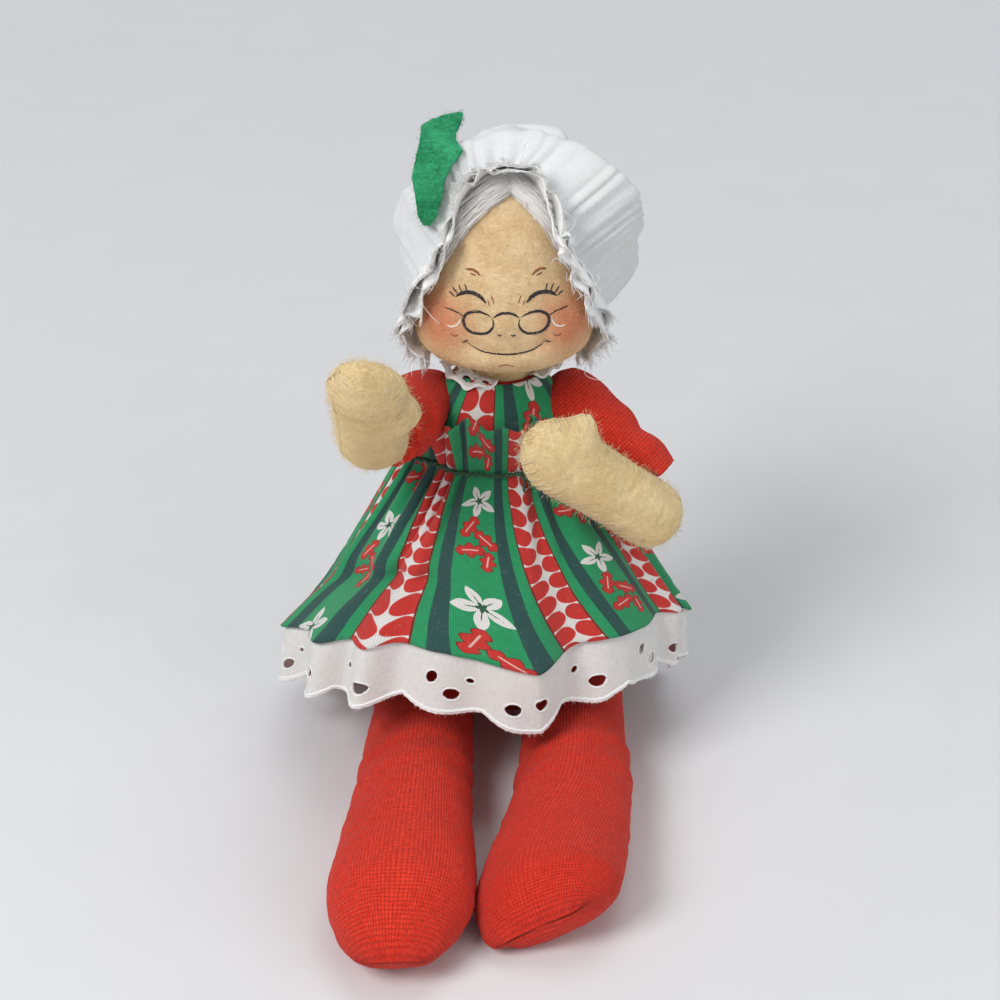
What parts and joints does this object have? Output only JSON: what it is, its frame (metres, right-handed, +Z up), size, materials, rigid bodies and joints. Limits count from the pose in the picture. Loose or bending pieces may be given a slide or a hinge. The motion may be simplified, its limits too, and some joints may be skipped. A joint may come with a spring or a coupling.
{
  "type": "felt christmas doll",
  "caption": "Seated poseable cloth doll: felt head and mitts on a wire armature, mob cap with holly leaf, printed pinafore apron over an eyelet lace petticoat, red stockings.",
  "frame": {"origin": "on the floor under the seat, in the middle of the flat the torso sits on", "axes": "+Z up, the doll faces -Y, +X is the doll's own left side"},
  "size_m": [0.089, 0.1131, 0.1376],
  "materials": {
    "red_cotton": "plain woven cotton",
    "tan_felt": "fuzzy felt",
    "holly_print": "printed cotton",
    "white_cotton": "crisp white cotton",
    "eyelet_lace": "embroidered eyelet cotton",
    "white_mohair": "fine loose hair",
    "green_felt": "fuzzy felt",
    "green_thread": "twisted sewing thread",
    "white_thread": "sewing thread",
    "armature_wire": "annealed wire"
  },
  "bodies": {
    "torso": {"torso": "red_cotton", "spine_wire": "armature_wire", "bib": "holly_print", "apron": "holly_print", "waist_thread": "green_thread", "petticoat": "eyelet_lace", "lace_collar": "eyelet_lace"},
    "neck": {"neck": "tan_felt", "neck_wire": "armature_wire"},
    "head": {"head": "tan_felt", "hair": "white_mohair", "cap_crown": "white_cotton", "cap_frill": "white_cotton", "cap_thread": "white_thread", "holly_leaf": "green_felt"},
    "left_upper_arm": {"left_sleeve": "red_cotton", "left_arm_wire": "armature_wire"},
    "left_forearm": {"left_mitt": "tan_felt", "left_forearm_wire": "armature_wire"},
    "left_thigh": {"left_thigh": "red_cotton", "left_thigh_wire": "armature_wire"},
    "left_lower_leg": {"left_stocking": "red_cotton", "left_shin_wire": "armature_wire"},
    "right_upper_arm": {"right_sleeve": "red_cotton", "right_arm_wire": "armature_wire"},
    "right_forearm": {"right_mitt": "tan_felt", "right_forearm_wire": "armature_wire"},
    "right_thigh": {"right_thigh": "red_cotton", "right_thigh_wire": "armature_wire"},
    "right_lower_leg": {"right_stocking": "red_cotton", "right_shin_wire": "armature_wire"}
  },
  "joints": [
    {"name": "head_nod", "type": "hinge", "parent": "torso", "child": "neck", "pos_m": [0.003, 0, 0.083], "axis": [1, 0, 0], "range_deg": [-5, 10]},
    {"name": "head_turn", "type": "hinge", "parent": "neck", "child": "head", "pos_m": [0.003, 0, 0.083], "axis": [0, 0, 1], "range_deg": [-40, 40]},
    {"name": "left_shoulder", "type": "hinge", "parent": "torso", "child": "left_upper_arm", "pos_m": [0.0165, -0.002, 0.075], "axis": [0, -1, 0], "range_deg": [0, 50]},
    {"name": "left_elbow", "type": "hinge", "parent": "left_upper_arm", "child": "left_forearm", "pos_m": [0.03165, -0.01575, 0.05785], "axis": [0.6987, -0.032, 0.7147], "range_deg": [0, 100]},
    {"name": "right_shoulder", "type": "hinge", "parent": "torso", "child": "right_upper_arm", "pos_m": [-0.0125, -0.002, 0.075], "axis": [0, 0, -1], "range_deg": [0, 60]},
    {"name": "right_elbow", "type": "hinge", "parent": "right_upper_arm", "child": "right_forearm", "pos_m": [-0.02174, -0.02179, 0.07764], "axis": [-0.7941, 0.4281, 0.4314], "range_deg": [-40, 25]},
    {"name": "left_hip", "type": "hinge", "parent": "torso", "child": "left_thigh", "pos_m": [0.0175, -0.00974, 0.009], "axis": [0.9935, -0.1142, 0], "range_deg": [0, 65]},
    {"name": "left_knee", "type": "hinge", "parent": "left_thigh", "child": "left_lower_leg", "pos_m": [0.01371, -0.04272, 0.009], "axis": [0.9935, -0.1142, 0], "range_deg": [0, 80]},
    {"name": "right_hip", "type": "hinge", "parent": "torso", "child": "right_thigh", "pos_m": [-0.0135, -0.00974, 0.009], "axis": [0.9992, -0.04, 0], "range_deg": [0, 65]},
    {"name": "right_knee", "type": "hinge", "parent": "right_thigh", "child": "right_lower_leg", "pos_m": [-0.01483, -0.04292, 0.009], "axis": [0.9992, -0.04, 0], "range_deg": [0, 80]}
  ]
}
